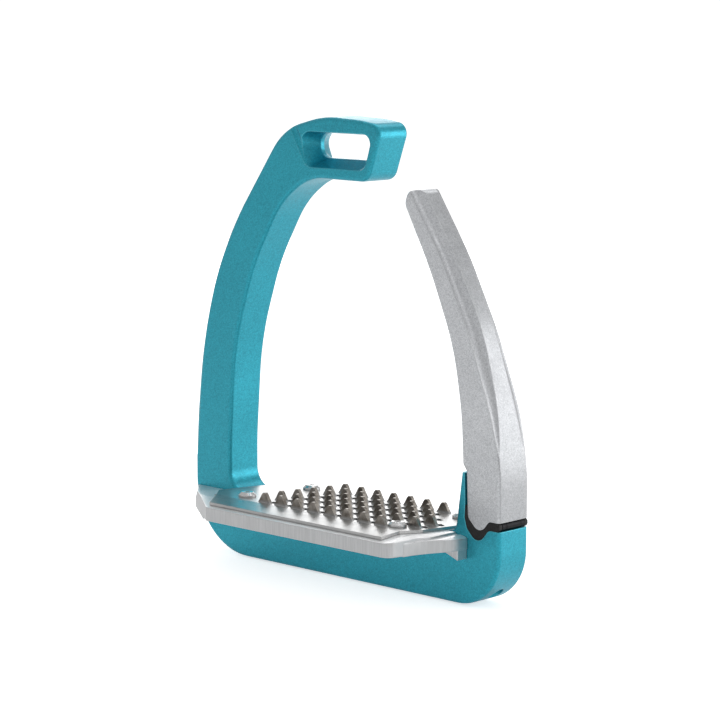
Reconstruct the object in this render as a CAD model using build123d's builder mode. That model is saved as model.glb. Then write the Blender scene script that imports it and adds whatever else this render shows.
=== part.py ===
from build123d import *
import os
from math import cos, sin, tan, radians, pi

os.makedirs("parts", exist_ok=True)

# Stirrup iron with a release arm. Millimetres.
# Origin: centre of the base at its underside. X runs to the release arm, -Y is the toe side, Z is up.

# Frame and arms
HALF = 7.0
OUTER_X = 70.8
CORNER_L = 25.0
CORNER_R = 18.0
BASE_TOP = 22.7
EDGE = 1.2
BAND = 0.08

# Release hinge
PIV_X = 69.4
PIV_Z = 27.2
EYE_R = 1.4
PIN_R = 0.78
PIN_BORE = 0.81
CENTRE_Y = 3.2
CHEEK_Y = 3.6
BLOCK_Y = 5.3
POCKET_Y = 5.4

# Return draw bar: its crossbar unwinds along an involute of this base circle
DRUM = 2.5
START = 1.0
CROSS_R = 0.85
STEM_R = 0.95
CHAMBER_R = 2.3
SEAT_Z = 34.6
SPRING_TOP = 43.6
SPRING_R = 1.55
WIRE_R = 0.34
COILS = 5.5

# Tread
TILT = 3.6
PLATE_Z = 24.0
SHEET = 1.0
FOLD_Y = -26.3
FLANGE_Y = -34.6
BAR_Y = -37.0
REAR_Y = 18.6
SADDLE_Z = 18.4
TOOTH_T = 1.2
PITCH_X = 7.64
PITCH_Y = 7.67
TOOTH_X0 = -18.0
TOOTH_Y0 = -23.3
ROWS = (8, 9, 9, 8, 7, 7)
TOOTH = [
    (-3.1, 0), (3.1, 0), (2.2, 1.1), (1.0, 3.1), (0.45, 3.65), (-0.45, 3.65), (-1.0, 3.1), (-2.2, 1.1),
    (-3.1, 0),
]
PLATE_SCREWS = [(x, y) for x in (-30.3, 39.4) for y in (-20.5, 10.2)]
SADDLE_SCREWS = [(-33.0, -1.0), (34.0, -1.0)]

slope = tan(radians(TILT))
tread_up = (0, sin(radians(TILT)), cos(radians(TILT)))
tread_plane = Plane(origin=(0, 0, PLATE_Z), x_dir=(1, 0, 0), z_dir=tread_up)


def tread_z(y):
    return PLATE_Z - slope * y


def at_pivot(x, z):
    return (PIV_X + x, PIV_Z + z)


def unwind(angle, start):
    reach = start + DRUM * angle
    x = -DRUM * cos(angle) - reach * sin(angle)
    z = DRUM * sin(angle) - reach * cos(angle)
    return at_pivot(x, z)


# Outlines as corner points, each with its corner radius
CUP = [
    ((OUTER_X, 25.75), 0), ((66.2, 25.75), 2.2), ((61.75, 20.2), 3.4), ((57.0, 25.2), 3.0),
    ((55.95, 28.7), 0),
]
HEEL = [
    ((56.75, 32.8), 0), ((57.6, 28.9), 3.0), ((62.45, 24.1), 2.9), ((66.4, 28.65), 1.2),
    ((OUTER_X, 28.65), 0),
]
BLADE = [((56.2, 33.5), 0), ((55.9, 43.2), 0), ((54.5, 43.2), 0), ((51.7, BASE_TOP), 4.5)]
FIXED_ARM = [
    ((-53.2, BASE_TOP), 6.5), ((-53.2, 40.0), 120), ((-50.6, 75.0), 100), ((-41.0, 102.8), 80),
    ((-28.0, 124.5), 35), ((-14.5, 133.5), 22), ((12.8, 133.3), 4.5), ((19.5, 151.9), 3.8),
    ((8.5, 153.4), 60), ((-8.0, 154.0), 40), ((-26.6, 149.3), 24), ((-56.4, 108.5), 110),
    ((-67.2, 74.0), 150), ((-OUTER_X, 42.0), 200),
]
SLOT = [((-15.0, 148.2), 3.8), ((-13.8, 139.9), 3.6), ((11.9, 139.9), 3.0), ((14.6, 148.2), 3.0)]
SCOOP = [((-20.2, 148.9), 4.6), ((-15.6, 136.9), 3.6), ((11.6, 136.9), 3.6), ((15.3, 148.9), 3.2)]
FOOT = [((-OUTER_X, 0), CORNER_L), ((OUTER_X, 0), CORNER_R)]
ARM = [
    ((56.4, 43.8), 1.2), ((54.9, 45.8), 2.0), ((54.1, 62.0), 100), ((50.5, 83.0), 80),
    ((40.5, 106.5), 150), ((29.0, 127.5), 4.0), ((31.2, 132.7), 2.7), ((34.9, 131.2), 3.0),
    ((47.8, 112.0), 100), ((60.0, 88.5), 100), ((67.6, 64.0), 100), ((OUTER_X, 44.5), 70),
]

# Centre line of the cutter for the flutes along the release arm's outer edges
FLUTE = [(77.5, 34.0), (75.2, 46.5), (71.0, 64.8), (61.6, 89.1), (49.3, 112.9), (33.0, 137.1)]


def outline(corners):
    points = [point for point, radius in corners]
    radii = [radius for point, radius in corners]
    FilletPolyline(*points, radius=radii, close=True)


with BuildPart() as frame:
    with BuildSketch(Plane.XZ):
        with BuildLine():
            outline(CUP + BLADE + FIXED_ARM + FOOT)
        make_face()
    extrude(amount=HALF, both=True)
    fillet(frame.faces().filter_by(Axis.Y).edges().filter_by(lambda e: e.center().Z < 1), EDGE)
    with BuildSketch(Plane.XZ):
        with BuildLine():
            outline(SLOT)
        make_face()
    extrude(amount=HALF, both=True, mode=Mode.SUBTRACT)
    # Each end of the slot flares out, most of all towards the fixed arm
    for side in (-1, 1):
        with BuildSketch(Plane.XZ.offset(side * 0.8)):
            with BuildLine():
                outline(SLOT)
            make_face()
        with BuildSketch(Plane.XZ.offset(side * (HALF + 0.05))):
            with BuildLine():
                outline(SCOOP)
            make_face()
        loft(ruled=True, mode=Mode.SUBTRACT)
        with BuildLine() as groove:
            Line((-24.0, side * (HALF + 1.5), 154.5), (-14.5, side * (HALF + 1.5), 138.6))
        with BuildSketch(Plane(origin=groove.line @ 0, z_dir=groove.line % 0)):
            Circle(2.2)
        sweep(path=groove.wire(), mode=Mode.SUBTRACT)
        with BuildLine() as relief:
            Spline(
                [
                    (-71.7, side * (HALF + 1.1), 33.0), (-70.3, side * (HALF + 1.1), 48.0),
                    (-68.4, side * (HALF + 1.1), 66.2), (-65.4, side * (HALF + 1.1), 82.3),
                    (-60.8, side * (HALF + 1.1), 97.4), (-54.0, side * (HALF + 1.1), 111.5),
                    (-47.2, side * (HALF + 1.1), 123.0), (-38.9, side * (HALF + 1.1), 134.3),
                ]
            )
        with BuildSketch(Plane(origin=relief.line @ 0, z_dir=relief.line % 0)):
            Circle(2.1)
        sweep(path=relief.wire(), mode=Mode.SUBTRACT)
    # Saddle that the tread support drops into
    with BuildSketch(Plane.XY.offset(SADDLE_Z)):
        with Locations((0.85, 0)):
            Rectangle(95.5, 2 * HALF + 2)
    extrude(amount=8, mode=Mode.SUBTRACT)
    with BuildSketch(Plane.XY.offset(SADDLE_Z - 11.0)):
        with Locations(*SADDLE_SCREWS):
            Circle(1.7)
    extrude(amount=11.0, mode=Mode.SUBTRACT)
    # Pocket and screw hole for the hinge block
    with BuildSketch(Plane.XY.offset(14.9)):
        with Locations((65.15, 0)):
            Rectangle(8.7, 2 * POCKET_Y)
    extrude(amount=13, mode=Mode.SUBTRACT)
    with BuildSketch(Plane.XY):
        with Locations((63.2, 0)):
            Circle(1.7)
    extrude(amount=15, mode=Mode.SUBTRACT)
    with BuildSketch(Plane.XY):
        with Locations((63.2, 0)):
            Circle(2.6)
    extrude(amount=7.8, mode=Mode.SUBTRACT)
frame.part.label = "frame"
export_step(frame.part, "parts/frame.step")

with BuildPart() as release_arm:
    with BuildSketch(Plane.XZ):
        with BuildLine():
            outline(HEEL[::-1] + ARM)
        make_face()
    extrude(amount=HALF, both=True)
    fillet(release_arm.faces().filter_by(Axis.Y).edges().filter_by(lambda e: 60 < e.center().Z < 70), 1.0)
    for side in (-1, 1):
        with BuildLine(Plane.XZ.offset(side * (HALF + 0.1))) as flute:
            FilletPolyline(*FLUTE, radius=100)
        with BuildSketch(Plane(origin=flute.line @ 0, z_dir=flute.line % 0)):
            Circle(4.5)
        sweep(path=flute.wire(), mode=Mode.SUBTRACT)
    with BuildSketch(Plane.XZ):
        with BuildLine():
            Polyline(
                (58.8, 24.0), (69.55, 24.0), (69.55, 43.6), (67.6, 51.6), (64.6, 57.1), (58.8, 57.1),
                (58.8, 24.0),
            )
        make_face()
    extrude(amount=POCKET_Y, both=True, mode=Mode.SUBTRACT)
    for z in (47.8, 53.6):
        with BuildSketch(Plane.YZ.offset(50)):
            with Locations((0, z)):
                Circle(1.6)
        extrude(amount=10, mode=Mode.SUBTRACT)
        with BuildSketch(Plane.YZ.offset(50)):
            with Locations((0, z)):
                Circle(2.75)
        extrude(amount=6.2, mode=Mode.SUBTRACT)
release_arm.part.label = "release_arm"
export_step(release_arm.part, "parts/release_arm.step")

with BuildPart() as joint_gasket:
    with BuildSketch(Plane.XZ):
        with BuildLine():
            outline(CUP + [((56.2, 32.8), 0)] + HEEL)
        make_face()
        offset(amount=-BAND)
    extrude(amount=HALF - 0.1, both=True)
    nose = joint_gasket.edges().filter_by(Axis.Y).sort_by(Axis.X)[-2:]
    fillet(nose, 1.3)
    with BuildSketch(Plane.XZ):
        with Locations((65.5, 27.2)):
            Rectangle(13.0, 14.0)
    extrude(amount=POCKET_Y + 0.1, both=True, mode=Mode.SUBTRACT)
joint_gasket.part.label = "joint_gasket"
export_step(joint_gasket.part, "parts/joint_gasket.step")

with BuildPart() as base_hinge_block:
    with BuildSketch(Plane.XZ):
        with BuildLine():
            Polyline(
                (61.0, 15.0), (69.4, 15.0), (69.4, 23.0), (68.2, 23.0), (66.2, 23.0), (64.4, 21.2),
                (61.0, 21.2), (61.0, 15.0),
            )
        make_face()
    extrude(amount=BLOCK_Y, both=True)
    with BuildSketch(Plane.XZ):
        with BuildLine():
            Polyline(
                (65.0, 20.0), (69.4, 20.0), (69.4, PIV_Z), (68.2, PIV_Z), (68.2, 24.8), (65.0, 22.0),
                (65.0, 20.0),
            )
        make_face()
        with Locations((PIV_X, PIV_Z)):
            Circle(EYE_R)
    extrude(amount=CENTRE_Y, both=True)
    for side in (-1, 1):
        with BuildSketch(Plane.XZ.offset(side * (CENTRE_Y + 1.25) / 2)):
            with BuildLine():
                Spline([unwind(radians(a), START - CROSS_R - 0.05) for a in (0, 20, 40, 60, 80, 100)])
                Line(unwind(radians(100), START - CROSS_R - 0.05), at_pivot(-3.1, 3.6))
                Line(at_pivot(-3.1, 3.6), at_pivot(-1.1, 2.5))
                Line(at_pivot(-1.1, 2.5), at_pivot(0.1, 1.35))
                Line(at_pivot(0.1, 1.35), at_pivot(0.1, -0.6))
                Line(at_pivot(0.1, -0.6), at_pivot(-1.2, -0.6))
                Line(at_pivot(-1.2, -0.6), unwind(0, START - CROSS_R - 0.05))
            make_face()
        extrude(amount=(CENTRE_Y - 1.25) / 2, both=True)
    with BuildSketch(Plane.XZ):
        with Locations((PIV_X, PIV_Z)):
            Circle(PIN_BORE)
    extrude(amount=CENTRE_Y + 1, both=True, mode=Mode.SUBTRACT)
    with BuildSketch(Plane.XY.offset(14)):
        with Locations((63.2, 0)):
            Circle(1.5)
    extrude(amount=10, mode=Mode.SUBTRACT)
base_hinge_block.part.label = "base_hinge_block"
export_step(base_hinge_block.part, "parts/base_hinge_block.step")

with BuildPart() as arm_hinge_block:
    with BuildSketch(Plane.XZ):
        with BuildLine():
            Polyline(
                (58.9, 34.0), (64.0, 32.4), (69.4, 32.4), (69.4, 43.4), (67.4, 51.4), (64.4, 57.0),
                (58.9, 57.0), (58.9, 34.0),
            )
        make_face()
    extrude(amount=BLOCK_Y, both=True)
    for side in (-1, 1):
        with BuildSketch(Plane.XZ.offset(side * (BLOCK_Y + CHEEK_Y) / 2)):
            with BuildLine():
                Polyline((64.6, 33.0), (64.6, 30.6), (68.0, PIV_Z), (69.4, PIV_Z), (69.4, 33.0), (64.6, 33.0))
            make_face()
            with Locations((PIV_X, PIV_Z)):
                Circle(EYE_R)
        extrude(amount=(BLOCK_Y - CHEEK_Y) / 2, both=True)
    with BuildSketch(Plane.XZ):
        with Locations((PIV_X, PIV_Z)):
            Circle(PIN_BORE)
    extrude(amount=BLOCK_Y + 1, both=True, mode=Mode.SUBTRACT)
    with BuildSketch(Plane.XY.offset(32)):
        with Locations((PIV_X - DRUM, 0)):
            Circle(CHAMBER_R)
    extrude(amount=15, mode=Mode.SUBTRACT)
    for z in (47.8, 53.6):
        with BuildSketch(Plane.YZ.offset(58)):
            with Locations((0, z)):
                Circle(1.5)
        extrude(amount=4.5, mode=Mode.SUBTRACT)
arm_hinge_block.part.label = "arm_hinge_block"
export_step(arm_hinge_block.part, "parts/arm_hinge_block.step")

with BuildPart() as hinge_pin:
    with BuildSketch(Plane.XZ):
        with Locations((PIV_X, PIV_Z)):
            Circle(PIN_R)
    extrude(amount=BLOCK_Y, both=True)
    chamfer(hinge_pin.edges().filter_by(GeomType.CIRCLE), 0.15)
hinge_pin.part.label = "hinge_pin"
export_step(hinge_pin.part, "parts/hinge_pin.step")

with BuildPart() as hinge_washers:
    for side in (-1, 1):
        with BuildSketch(Plane.XZ.offset(side * (CENTRE_Y + CHEEK_Y) / 2)):
            with Locations((PIV_X, PIV_Z)):
                Circle(EYE_R - 0.03)
                Circle(PIN_BORE + 0.05, mode=Mode.SUBTRACT)
        extrude(amount=0.15, both=True)
hinge_washers.part.label = "hinge_washers"
export_step(hinge_washers.part, "parts/hinge_washers.step")

with BuildPart() as base_hinge_screw:
    with BuildSketch(Plane.XY.offset(5.5)):
        with Locations((63.2, 0)):
            Circle(2.4)
    extrude(amount=2.3)
    with BuildSketch(Plane.XY.offset(7.8)):
        with Locations((63.2, 0)):
            Circle(1.45)
    extrude(amount=11.6)
    with BuildSketch(Plane.XY.offset(5.5)):
        with Locations((63.2, 0)):
            RegularPolygon(1.4, 6)
    extrude(amount=1.5, mode=Mode.SUBTRACT)
    chamfer(base_hinge_screw.edges().filter_by(GeomType.CIRCLE).group_by(Axis.Z)[0], 0.3)
base_hinge_screw.part.label = "base_hinge_screw"
export_step(base_hinge_screw.part, "parts/base_hinge_screw.step")

with BuildPart() as arm_hinge_screws:
    for z in (47.8, 53.6):
        with BuildSketch(Plane.YZ.offset(56.3)):
            with Locations((0, z)):
                Circle(1.45)
        extrude(amount=5.8)
        with BuildSketch(Plane.YZ.offset(54.9)):
            with Locations((0, z)):
                Circle(2.7)
                RegularPolygon(1.2, 6, mode=Mode.SUBTRACT)
        extrude(amount=1.0)
        with BuildSketch(Plane.YZ.offset(55.9)):
            with Locations((0, z)):
                Circle(2.7)
        extrude(amount=0.3)
        with BuildSketch(Plane.YZ.offset(55.9)):
            with Locations((0, z)):
                Circle(1.45)
        extrude(amount=0.5)
arm_hinge_screws.part.label = "arm_hinge_screws"
export_step(arm_hinge_screws.part, "parts/arm_hinge_screws.step")

with BuildPart() as draw_bar:
    with BuildSketch(Plane.XY.offset(PIV_Z - START)):
        with Locations((PIV_X - DRUM, 0)):
            Circle(STEM_R)
    extrude(amount=46.4 - PIV_Z + START)
    with BuildSketch(Plane.XZ):
        with Locations((PIV_X - DRUM, PIV_Z - START)):
            Circle(0.5)
    extrude(amount=3, both=True, mode=Mode.SUBTRACT)
    chamfer(draw_bar.edges().filter_by(GeomType.CIRCLE).group_by(Axis.Z)[-1], 0.2)
draw_bar.part.label = "draw_bar"
export_step(draw_bar.part, "parts/draw_bar.step")

with BuildPart() as draw_bar_crossbar:
    for side in (-1, 1):
        with BuildSketch(Plane.XZ.offset(side * 1.0)):
            with Locations((PIV_X - DRUM, PIV_Z - START)):
                Circle(CROSS_R)
        extrude(amount=side * 2.1)
    with BuildSketch(Plane.XZ):
        with Locations((PIV_X - DRUM, PIV_Z - START)):
            Circle(0.48)
    extrude(amount=1.5, both=True)
draw_bar_crossbar.part.label = "draw_bar_crossbar"
export_step(draw_bar_crossbar.part, "parts/draw_bar_crossbar.step")

with BuildPart() as spring_collar:
    with BuildSketch(Plane.XY.offset(32.5)):
        with Locations((PIV_X - DRUM, 0)):
            Circle(CHAMBER_R - 0.02)
            Circle(STEM_R + 0.04, mode=Mode.SUBTRACT)
    extrude(amount=SEAT_Z - 0.05 - 32.5)
spring_collar.part.label = "spring_collar"
export_step(spring_collar.part, "parts/spring_collar.step")

with BuildPart() as return_spring:
    with BuildLine() as coil:
        Helix(
            pitch=(SPRING_TOP - SEAT_Z - 2 * WIRE_R) / COILS,
            height=SPRING_TOP - SEAT_Z - 2 * WIRE_R,
            radius=SPRING_R,
            center=(PIV_X - DRUM, 0, SEAT_Z + WIRE_R),
        )
    with BuildSketch(Plane(origin=coil.line @ 0, z_dir=coil.line % 0)):
        Circle(WIRE_R)
    sweep(path=coil.wire(), is_frenet=True)
return_spring.part.label = "return_spring"
export_step(return_spring.part, "parts/return_spring.step")

with BuildPart() as spring_washer:
    with BuildSketch(Plane.XY.offset(SPRING_TOP + 0.05)):
        with Locations((PIV_X - DRUM, 0)):
            Circle(CHAMBER_R - 0.15)
            Circle(STEM_R + 0.02, mode=Mode.SUBTRACT)
    extrude(amount=0.5)
spring_washer.part.label = "spring_washer"
export_step(spring_washer.part, "parts/spring_washer.step")

with BuildPart() as draw_bar_nut:
    with BuildSketch(Plane.XY.offset(SPRING_TOP + 0.55)):
        with Locations((PIV_X - DRUM, 0)):
            RegularPolygon(1.95, 6)
            Circle(STEM_R + 0.01, mode=Mode.SUBTRACT)
    extrude(amount=1.7)
draw_bar_nut.part.label = "draw_bar_nut"
export_step(draw_bar_nut.part, "parts/draw_bar_nut.step")

with BuildPart() as tread_support:
    # Side profile over the whole width, trimmed to the plan outline
    with BuildSketch(Plane.YZ.offset(-72)):
        with BuildLine():
            Polyline(
                (BAR_Y, 19.1),
                (BAR_Y, 23.7),
                (FOLD_Y, tread_z(FOLD_Y) - SHEET - 0.05),
                (REAR_Y, tread_z(REAR_Y) - SHEET - 0.05),
                (REAR_Y, 19.4),
                (HALF + 3, SADDLE_Z + 0.1),
                (-HALF - 12, SADDLE_Z + 0.1),
                (BAR_Y, 19.1),
            )
        make_face()
    extrude(amount=130)
    with BuildSketch(Plane.XY.offset(15)):
        with BuildLine():
            Polyline(
                (-33.0, BAR_Y), (50.6, BAR_Y), (51.2, -24.0), (52.4, -19.0), (52.4, -7.1), (48.4, -7.1),
                (48.4, 7.1), (48.4, 14.5), (43.5, REAR_Y), (-41.5, REAR_Y), (-46.7, 14.5), (-46.7, -7.1),
                (-50.0, -7.1), (-54.2, -21.8), (-33.0, BAR_Y),
            )
        make_face()
    extrude(amount=14, mode=Mode.INTERSECT)
    upright = tread_support.edges().filter_by(Axis.Z)
    fillet(upright.filter_by(lambda e: e.center().X > 50 and e.center().Y < -36), 3.5)
    # Wing that wraps the foot of the fixed arm
    with BuildSketch(Plane.XY.offset(18.0)):
        with BuildLine():
            Polyline(
                (-69.4, -7.1), (-57.4, -19.5), (-40.0, -31.98), (-36.0, -24.0), (-44.0, -7.1), (-69.4, -7.1),
            )
        make_face()
    extrude(amount=4.4)
    # Foot that sweeps round to bear on the front of the base, its top falling away and a toe below it
    with BuildSketch(Plane.XY.offset(18.6)):
        with BuildLine():
            Line((46.3, -7.1), (46.3, -30.0))
            Line((46.3, -30.0), (51.0, -30.0))
            Spline([(51.0, -30.0), (51.7, -25.8), (53.2, -21.3), (55.6, -16.4), (57.2, -11.5), (57.4, -7.1)])
            Line((57.4, -7.1), (46.3, -7.1))
        make_face()
    extrude(amount=4.2)
    with BuildSketch(Plane.XZ.offset(7.1)):
        with BuildLine():
            Polyline((49.0, 18.7), (49.0, 18.4), (57.2, 15.4), (57.2, 18.7), (49.0, 18.7))
        make_face()
    extrude(amount=4.4)
    with BuildSketch(Plane.XZ.offset(7.0)):
        with BuildLine():
            Polyline((48.5, 24.4), (48.5, 26.0), (60.0, 26.0), (60.0, 21.2), (57.4, 22.2), (48.5, 24.4))
        make_face()
    extrude(amount=29.0, mode=Mode.SUBTRACT)
    # Relief under the punched openings
    with BuildSketch(Plane.XY.offset(SADDLE_Z + 2.3)):
        with Locations((7.0, -4.25)):
            Rectangle(55.0, 39.5)
        with Locations((40.0, -5.0)):
            Rectangle(12.0, 20.0)
    extrude(amount=9, mode=Mode.SUBTRACT)
    with BuildSketch(tread_plane.offset(-SHEET - 8)):
        with Locations(*PLATE_SCREWS):
            Circle(1.5)
    extrude(amount=9, mode=Mode.SUBTRACT)
    with BuildSketch(Plane.XY.offset(SADDLE_Z - 1)):
        with Locations(*SADDLE_SCREWS):
            Circle(2.1)
    extrude(amount=9, mode=Mode.SUBTRACT)
    with BuildSketch(Plane.XY.offset(SADDLE_Z + 2.2)):
        with Locations(*SADDLE_SCREWS):
            Circle(3.9)
    extrude(amount=9, mode=Mode.SUBTRACT)
tread_support.part.label = "tread_support"
export_step(tread_support.part, "parts/tread_support.step")

with BuildPart() as tread_support_screws:
    with BuildSketch(Plane.XY.offset(SADDLE_Z + 2.25)):
        with Locations(*SADDLE_SCREWS):
            Circle(3.6)
            RegularPolygon(1.5, 6, mode=Mode.SUBTRACT)
    extrude(amount=1.7)
    with BuildSketch(Plane.XY.offset(SADDLE_Z + 2.25)):
        with Locations(*SADDLE_SCREWS):
            Circle(3.6)
    extrude(amount=0.5)
    with BuildSketch(Plane.XY.offset(SADDLE_Z - 9.5)):
        with Locations(*SADDLE_SCREWS):
            Circle(1.65)
    extrude(amount=11.75)
tread_support_screws.part.label = "tread_support_screws"
export_step(tread_support_screws.part, "parts/tread_support_screws.step")

with BuildPart() as grip_plate:
    with BuildSketch(tread_plane.offset(-SHEET)):
        with BuildLine():
            Polyline(
                (-39.5, FOLD_Y - 0.2), (45.9, FOLD_Y - 0.2), (48.2, -18.0), (48.2, 13.5), (44.4, 17.5),
                (-41.5, 17.5), (-46.5, 13.0), (-46.5, -18.5), (-39.5, FOLD_Y - 0.2),
            )
        make_face()
    extrude(amount=SHEET)
    fillet(grip_plate.edges().filter_by(lambda e: abs(e.length - SHEET) < 0.01 and e.center().Y > 10), 2.4)
    with BuildSketch(Plane.YZ.offset(-40)):
        with BuildLine():
            Polyline(
                (FOLD_Y, tread_z(FOLD_Y)),
                (FLANGE_Y, 25.0),
                (FLANGE_Y, 25.0 - SHEET),
                (FOLD_Y, tread_z(FOLD_Y) - SHEET),
                (FOLD_Y, tread_z(FOLD_Y)),
            )
        make_face()
    extrude(amount=85.7)
    with BuildSketch(Plane.XY.offset(20)):
        with BuildLine():
            Polyline(
                (-42.0, FOLD_Y - 0.3), (-39.4, FOLD_Y - 0.3), (-33.2, FLANGE_Y - 1), (-42.0, FLANGE_Y - 1),
                (-42.0, FOLD_Y - 0.3),
            )
        make_face()
    extrude(amount=8, mode=Mode.SUBTRACT)
    # Clearance holes, then the punched openings with a tooth standing at the back of each
    with BuildSketch(tread_plane.offset(-2)):
        with Locations(*PLATE_SCREWS):
            Circle(1.65)
    extrude(amount=4, mode=Mode.SUBTRACT)
    for row, count in enumerate(ROWS):
        y = TOOTH_Y0 + PITCH_Y * row
        foot = tread_z(y - TOOTH_T) - 0.3
        for x in [TOOTH_X0 + PITCH_X * col for col in range(count)]:
            with BuildSketch(tread_plane.offset(-2)):
                with BuildLine():
                    Polyline((x - 2.3, y), (x + 3.7, y), (x + 3.7, y + 2.0), (x + 0.6, y + 3.6), (x - 2.3, y))
                make_face()
            extrude(amount=4, mode=Mode.SUBTRACT)
            with BuildSketch(Plane.XZ.offset(-y + TOOTH_T)):
                with BuildLine():
                    Polyline(*[(x + dx, foot + dz) for dx, dz in TOOTH])
                make_face()
            extrude(amount=-TOOTH_T)
grip_plate.part.label = "grip_plate"
export_step(grip_plate.part, "parts/grip_plate.step")

with BuildPart() as grip_plate_screws:
    with BuildSketch(tread_plane.offset(0.03)):
        with Locations(*PLATE_SCREWS):
            Circle(3.0)
    extrude(amount=1.7)
    rims = grip_plate_screws.edges().filter_by(GeomType.CIRCLE)
    chamfer(rims.filter_by(lambda e: e.center().Z > tread_z(e.center().Y) + 1), 1.0)
    with BuildSketch(tread_plane.offset(0.7)):
        with Locations(*PLATE_SCREWS):
            RegularPolygon(1.15, 6)
    extrude(amount=2, mode=Mode.SUBTRACT)
    with BuildSketch(tread_plane.offset(-3.9)):
        with Locations(*PLATE_SCREWS):
            Circle(1.45)
    extrude(amount=4.0)
grip_plate_screws.part.label = "grip_plate_screws"
export_step(grip_plate_screws.part, "parts/grip_plate_screws.step")
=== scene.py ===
"""Looks for the stirrup iron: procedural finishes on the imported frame, studio light and camera."""

import math

import bpy
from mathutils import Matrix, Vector


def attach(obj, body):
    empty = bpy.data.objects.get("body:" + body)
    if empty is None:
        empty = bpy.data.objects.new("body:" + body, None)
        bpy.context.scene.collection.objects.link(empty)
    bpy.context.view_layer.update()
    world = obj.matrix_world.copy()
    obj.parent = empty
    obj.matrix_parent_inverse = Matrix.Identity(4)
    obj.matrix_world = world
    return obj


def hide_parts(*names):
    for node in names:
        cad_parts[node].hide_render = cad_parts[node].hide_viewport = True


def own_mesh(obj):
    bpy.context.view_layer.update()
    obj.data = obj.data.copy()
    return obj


MM = 0.001

# Camera that matches the photograph
CAMERA_AZIMUTH = 44.0
CAMERA_ELEVATION = 8.34
CAMERA_DISTANCE = 862.2 * MM
CAMERA_TARGET = Vector((2.95 * MM, 0.0, 73.3 * MM))
CAMERA_LENS = 129.55

# Height of the grip plate's face over the middle of the base, and its fall per metre towards the rear
TREAD_Z = 24.0 * MM
TREAD_FALL = 0.0629

# Floor just below the base, and the level of the surround as a light and as the camera sees it
FLOOR_SIZE = 90.0
FLOOR_DROP = 0.6 * MM
SURROUND_LIGHT = 0.56
SURROUND_SEEN = 1.05

# Coats from deep flake to light flake to the painted highlight on rounded edges, and the flakes and grains
# in them per metre
TEAL = ((0.010, 0.255, 0.345, 1.0), (0.034, 0.480, 0.610, 1.0), (0.200, 0.740, 0.840, 1.0))
SILVER = ((0.44, 0.455, 0.475, 1.0), (0.80, 0.815, 0.84, 1.0), (0.90, 0.91, 0.92, 1.0))
FLAKES = 4600.0
GRAINS = 2600.0


class Nodes:
    """Short hand for building one node material in metres of object space."""

    def __init__(self, name, radius=0.3):
        self.material = bpy.data.materials.new(name)
        self.material.use_nodes = True
        self.tree = self.material.node_tree
        self.shader = self.tree.nodes["Principled BSDF"]
        self.place = self.tree.nodes.new("ShaderNodeTexCoord").outputs["Object"]
        self.rounded = self.node("ShaderNodeBevel", {"Radius": radius * MM}, samples=6).outputs["Normal"]

    def node(self, kind, inputs=None, **settings):
        made = self.tree.nodes.new(kind)
        for key, value in settings.items():
            setattr(made, key, value)
        for key, value in (inputs or {}).items():
            if isinstance(value, bpy.types.NodeSocket):
                self.tree.links.new(value, made.inputs[key])
            else:
                made.inputs[key].default_value = value
        return made

    def stretched(self, scale):
        return self.node("ShaderNodeMapping", {"Vector": self.place, "Scale": scale}).outputs["Vector"]

    def noise(self, scale, detail=3.0, roughness=0.55, vector=None):
        inputs = {"Vector": vector or self.place, "Scale": scale, "Detail": detail, "Roughness": roughness}
        return self.node("ShaderNodeTexNoise", inputs).outputs["Fac"]

    def cells(self, scale):
        return self.node("ShaderNodeTexVoronoi", {"Vector": self.place, "Scale": scale}).outputs["Color"]

    def remap(self, value, low, high, to_low=0.0, to_high=1.0):
        inputs = {"Value": value, "From Min": low, "From Max": high, "To Min": to_low, "To Max": to_high}
        return self.node("ShaderNodeMapRange", inputs).outputs["Result"]

    def math(self, operation, first, second):
        return self.node("ShaderNodeMath", {0: first, 1: second}, operation=operation).outputs[0]

    def mix(self, factor, first, second):
        return self.node("ShaderNodeMix", {0: factor, 6: first, 7: second}, data_type="RGBA").outputs[2]

    def edges(self):
        """Nought on open surfaces, one on the rounded edges."""
        flat = self.node("ShaderNodeNewGeometry").outputs["Normal"]
        inputs = {0: self.rounded, 1: flat}
        same = self.node("ShaderNodeVectorMath", inputs, operation="DOT_PRODUCT").outputs["Value"]
        return self.remap(same, 0.99, 0.84)

    def bump(self, height, strength, distance, base=None):
        inputs = {"Height": height, "Strength": strength, "Distance": distance}
        inputs["Normal"] = base or self.rounded
        return self.node("ShaderNodeBump", inputs).outputs["Normal"]

    def surface(self, **inputs):
        for key, value in inputs.items():
            name = key.replace("_", " ").title()
            if isinstance(value, bpy.types.NodeSocket):
                self.tree.links.new(value, self.shader.inputs[name])
            else:
                self.shader.inputs[name].default_value = value
        return self.material


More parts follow.
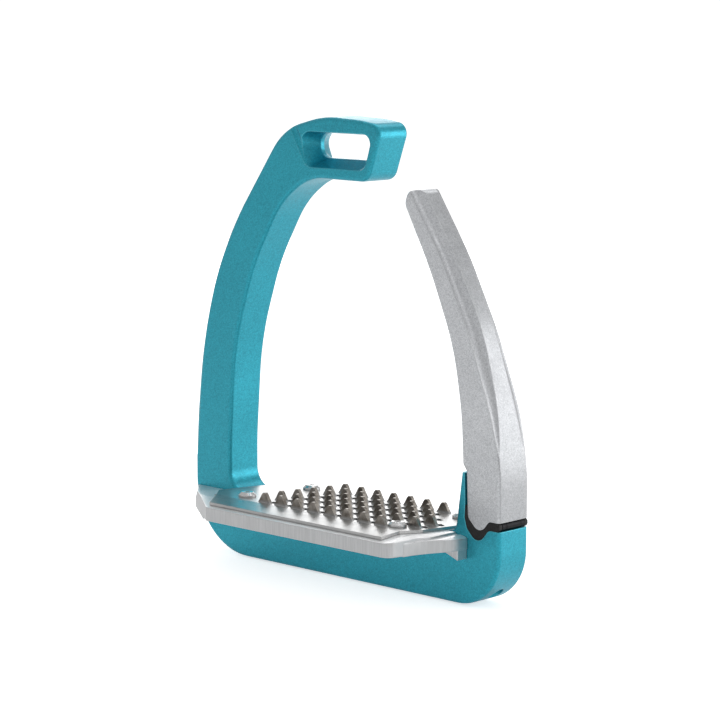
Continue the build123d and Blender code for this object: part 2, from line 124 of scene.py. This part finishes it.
def metallic_coat(name, colours, sparkle, rough, radius, outward_painted_shade=1.0):
    """Metal-flake coat: flakes of two sizes, slow tone drift, painted highlight on the rounded edges,
    orange-peel bump.

    The colour of faces that look to the release arm's side is scaled by the last argument, a painted shade.
    """
    deep, light, painted_edge_highlight = colours
    n = Nodes(name, radius)
    flakes = n.node("ShaderNodeSeparateColor", {"Color": n.cells(FLAKES)}).outputs["Red"]
    grains = n.node("ShaderNodeSeparateColor", {"Color": n.cells(GRAINS)}).outputs["Green"]
    drift = n.noise(45.0, 2.0)
    tone = n.math("ADD", n.math("MULTIPLY", flakes, 0.55), n.math("MULTIPLY", grains, 0.45))
    tone = n.remap(tone, 0.5 - sparkle, 0.5 + sparkle)
    tone = n.math("ADD", n.math("MULTIPLY", tone, 0.75), n.remap(drift, 0.3, 0.7, 0.08, 0.2))
    colour = n.mix(tone, deep, light)
    # Painted shade: faces looking towards +X get a darker colour.
    facing = n.node("ShaderNodeNewGeometry").outputs["Normal"]
    outward = n.node("ShaderNodeSeparateXYZ", {"Vector": facing}).outputs["X"]
    shade = n.remap(outward, 0.6, 0.95, 1.0, outward_painted_shade)
    colour = n.node("ShaderNodeVectorMath", {0: colour, "Scale": shade}, operation="SCALE").outputs["Vector"]
    # Painted highlight: rounded edges mixed towards the lighter edge colour.
    colour = n.mix(n.math("MULTIPLY", n.edges(), 0.55), colour, painted_edge_highlight)
    peel = n.bump(n.noise(900.0, 2.0), 0.12, 0.00008)
    normal = n.bump(flakes, 0.16, 0.00003, peel)
    roughness = n.remap(n.noise(260.0, 4.0), 0.3, 0.7, rough - 0.05, rough + 0.07)
    return n.surface(
        base_color=colour,
        metallic=0.72,
        roughness=roughness,
        normal=normal,
        coat_weight=0.25,
        coat_roughness=0.22,
    )


def satin_metal(name, colour, dark, rough, grain):
    """Bare metal with directional grain, faint smudges and fine scratches."""
    n = Nodes(name)
    lines = n.noise(1.0, 5.0, 0.7, n.stretched(grain))
    smudge = n.noise(90.0, 4.0)
    tone = n.math("ADD", n.math("MULTIPLY", lines, 0.6), n.math("MULTIPLY", smudge, 0.4))
    shade = n.mix(n.remap(tone, 0.3, 0.7), dark, colour)
    roughness = n.remap(n.math("ADD", lines, smudge), 0.7, 1.3, rough - 0.07, rough + 0.1)
    normal = n.bump(lines, 0.1, 0.00006)
    return n.surface(base_color=shade, metallic=1.0, roughness=roughness, normal=normal)


def cast_aluminium():
    """Blasted top, milled front edge with upright cutter marks; walls painted darker than the top as painted
    light and shade, rounded edges with a painted highlight.
    """
    n = Nodes("cast_aluminium", 0.55)
    cutter = n.noise(1.0, 4.0, 0.6, n.stretched((2600.0, 60.0, 120.0)))
    blast = n.noise(2400.0, 3.0)
    smudge = n.noise(70.0, 3.0)
    facing = n.node("ShaderNodeNewGeometry").outputs["Normal"]
    upright = n.math("ABSOLUTE", n.node("ShaderNodeSeparateXYZ", {"Vector": facing}).outputs["Z"], 0.0)
    marks = n.node("ShaderNodeMix", {0: n.remap(upright, 0.3, 0.8), 2: cutter, 3: blast}).outputs[0]
    # Painted light and shade: walls take a darker colour than upward faces; only the blast and cutter
    # textures are the metal's own.
    painted_shade_wall = n.mix(n.remap(marks, 0.3, 0.7), (0.50, 0.505, 0.512, 1), (0.62, 0.625, 0.632, 1))
    painted_lit_top = n.mix(n.remap(marks, 0.3, 0.7), (0.90, 0.905, 0.91, 1), (0.98, 0.98, 0.985, 1))
    colour = n.mix(n.remap(upright, 0.3, 0.9), painted_shade_wall, painted_lit_top)
    # Painted highlight: rounded edges mixed towards near white.
    colour = n.mix(n.math("MULTIPLY", n.edges(), 0.6), colour, (0.92, 0.92, 0.93, 1))
    roughness = n.remap(n.math("ADD", marks, smudge), 0.7, 1.3, 0.30, 0.46)
    normal = n.bump(marks, 0.12, 0.00006)
    return n.surface(base_color=colour, metallic=0.75, roughness=roughness, normal=normal)


def plate_steel():
    """Brushed plate whose teeth are browner than the sheet by their own tint and darker by painted shade."""
    n = Nodes("plate_steel", 0.22)
    lines = n.noise(1.0, 5.0, 0.7, n.stretched((90.0, 2300.0, 700.0)))
    stain = n.noise(420.0, 4.0)
    height = n.node("ShaderNodeSeparateXYZ", {"Vector": n.place}).outputs["Z"]
    across = n.node("ShaderNodeSeparateXYZ", {"Vector": n.place}).outputs["Y"]
    above = n.math("SUBTRACT", n.math("ADD", height, n.math("MULTIPLY", across, TREAD_FALL)), TREAD_Z)
    tooth = n.remap(above, 0.1 * MM, 0.9 * MM)
    sheet = n.mix(n.remap(lines, 0.3, 0.7), (0.40, 0.40, 0.40, 1), (0.55, 0.55, 0.545, 1))
    # Teeth: a brown tint of their own, made darker as painted shade.
    tooth_tint_and_shade = n.mix(n.remap(stain, 0.3, 0.7), (0.17, 0.15, 0.13, 1), (0.40, 0.37, 0.335, 1))
    colour = n.mix(tooth, sheet, tooth_tint_and_shade)
    roughness = n.remap(n.math("ADD", lines, stain), 0.7, 1.3, 0.26, 0.42)
    normal = n.bump(lines, 0.12, 0.00005)
    return n.surface(base_color=colour, metallic=1.0, roughness=roughness, normal=normal)


def black_rubber():
    """Dull rubber with fine grain and a little dust."""
    n = Nodes("black_rubber", 0.15)
    grain = n.noise(1800.0, 4.0)
    dust = n.noise(160.0, 3.0)
    colour = n.mix(n.remap(dust, 0.45, 0.75), (0.006, 0.006, 0.006, 1), (0.022, 0.022, 0.022, 1))
    roughness = n.remap(grain, 0.3, 0.7, 0.55, 0.75)
    return n.surface(base_color=colour, roughness=roughness, normal=n.bump(grain, 0.25, 0.00005))


def finish_pieces(frame):
    """One finish per node."""
    teal = metallic_coat("teal_coat", TEAL, sparkle=0.42, rough=0.36, radius=0.6)
    silver = metallic_coat("silver_coat", SILVER, sparkle=0.40, rough=0.34, radius=0.45, outward_painted_shade=0.66)
    polished = satin_metal(
        "screw_steel", (0.78, 0.78, 0.78, 1), (0.58, 0.58, 0.58, 1), 0.2, (900.0, 900.0, 900.0)
    )
    dark = satin_metal(
        "dark_steel", (0.035, 0.035, 0.038, 1), (0.014, 0.014, 0.015, 1), 0.42, (1400.0, 1400.0, 500.0)
    )
    wire = satin_metal(
        "spring_steel", (0.50, 0.50, 0.51, 1), (0.30, 0.30, 0.31, 1), 0.3, (800.0, 800.0, 2600.0)
    )
    finishes = {
        "frame": teal,
        "release_arm": silver,
        "tread_support": cast_aluminium(),
        "grip_plate": plate_steel(),
        "base_hinge_block": dark,
        "arm_hinge_block": dark,
        "hinge_pin": dark,
        "hinge_washers": dark,
        "base_hinge_screw": dark,
        "return_spring": wire,
    }
    for name, piece in frame["nodes"].items():
        piece.data.materials.clear()
        piece.data.materials.append(finishes.get(name, polished))


def rubber_seal(frame):
    """Moulded seal in the joint: soft rounded bead in place of the plain band."""
    band = frame["nodes"]["joint_gasket"]
    seal = bpy.data.objects.new("joint_gasket_rubber", band.data.copy())
    bpy.context.scene.collection.objects.link(seal)
    seal.data.materials.clear()
    seal.data.materials.append(black_rubber())
    seal.modifiers.new("weld", "WELD").merge_threshold = 0.004 * MM
    bead = seal.modifiers.new("bead", "BEVEL")
    bead.width = 0.35 * MM
    bead.segments = 4
    bead.limit_method = "ANGLE"
    bead.angle_limit = math.radians(40)
    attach(seal, "frame_body")
    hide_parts("joint_gasket")


def coil_spring(frame):
    """Copy of the return spring carried by the arm body in place of the CAD spring."""
    coil = bpy.data.objects.new("return_spring_coil", frame["nodes"]["return_spring"].data.copy())
    bpy.context.scene.collection.objects.link(coil)
    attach(coil, "arm_body")
    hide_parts("return_spring")
    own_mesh(coil)


def softbox(name, place, target, size, power):
    """Rectangular area light turned to its target."""
    light = bpy.data.lights.new(name, "AREA")
    light.shape = "RECTANGLE"
    light.size, light.size_y = size
    light.energy = power
    lamp = bpy.data.objects.new(name, light)
    lamp.location = place
    lamp.rotation_euler = (Vector(target) - Vector(place)).to_track_quat("-Z", "Y").to_euler()
    bpy.context.scene.collection.objects.link(lamp)


def studio():
    """Pale floor that reads white to the camera, soft surround and four softboxes."""
    bpy.ops.mesh.primitive_plane_add(size=FLOOR_SIZE, location=(0, 0, -FLOOR_DROP))
    floor = bpy.context.object
    floor.name = "floor"
    n = Nodes("pale_floor")
    tone = n.remap(n.noise(6.0, 2.0), 0.3, 0.7)
    seen = n.node("ShaderNodeLightPath").outputs["Is Camera Ray"]
    n.surface(
        base_color=n.mix(tone, (0.86, 0.86, 0.86, 1), (0.88, 0.88, 0.88, 1)),
        roughness=0.8,
        emission_color=(1.0, 1.0, 1.0, 1.0),
        emission_strength=n.math("ADD", n.math("MULTIPLY", seen, 0.5), 0.15),
    )
    floor.data.materials.append(n.material)

    world = bpy.data.worlds.new("studio")
    bpy.context.scene.world = world
    world.use_nodes = True
    sky = world.node_tree.nodes["Background"]
    sky.inputs["Color"].default_value = (1.0, 1.0, 1.0, 1.0)
    path = world.node_tree.nodes.new("ShaderNodeLightPath")
    level = world.node_tree.nodes.new("ShaderNodeMapRange")
    level.inputs["To Min"].default_value = SURROUND_LIGHT
    level.inputs["To Max"].default_value = SURROUND_SEEN
    world.node_tree.links.new(path.outputs["Is Camera Ray"], level.inputs["Value"])
    world.node_tree.links.new(level.outputs["Result"], sky.inputs["Strength"])

    middle = (0.0, 0.0, 0.07)
    softbox("overhead", (-0.15, 0.35, 1.0), middle, (0.9, 0.9), 2.8)
    softbox("right_rear", (0.45, 0.45, 0.17), (0.0, 0.0, 0.05), (0.6, 0.34), 1.25)
    softbox("right_top", (0.85, 0.10, 0.75), middle, (0.35, 0.8), 0.7)
    softbox("left_rear", (-0.80, 0.80, 0.30), middle, (0.7, 0.5), 2.1)


def camera():
    """Long lens at the photograph's angle."""
    data = bpy.data.cameras.new("camera")
    data.lens = CAMERA_LENS
    data.sensor_width = 36.0
    data.clip_start = 0.01
    data.clip_end = 20.0
    azimuth = math.radians(CAMERA_AZIMUTH)
    elevation = math.radians(CAMERA_ELEVATION)
    level = math.cos(elevation)
    back = Vector((math.sin(azimuth) * level, -math.cos(azimuth) * level, math.sin(elevation)))
    seat = bpy.data.objects.new("camera", data)
    seat.location = CAMERA_TARGET + back * CAMERA_DISTANCE
    seat.rotation_euler = (-back).to_track_quat("-Z", "Y").to_euler()
    bpy.context.scene.collection.objects.link(seat)
    bpy.context.scene.camera = seat


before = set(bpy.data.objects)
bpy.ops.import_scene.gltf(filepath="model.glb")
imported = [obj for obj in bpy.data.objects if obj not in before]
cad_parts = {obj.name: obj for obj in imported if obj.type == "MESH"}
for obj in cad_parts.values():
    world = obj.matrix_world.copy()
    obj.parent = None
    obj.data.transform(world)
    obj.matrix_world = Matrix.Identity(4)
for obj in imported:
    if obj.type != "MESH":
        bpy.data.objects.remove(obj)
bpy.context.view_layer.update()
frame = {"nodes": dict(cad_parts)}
finish_pieces(frame)
rubber_seal(frame)
coil_spring(frame)
studio()
camera()
bpy.context.scene.view_settings.view_transform = "Standard"
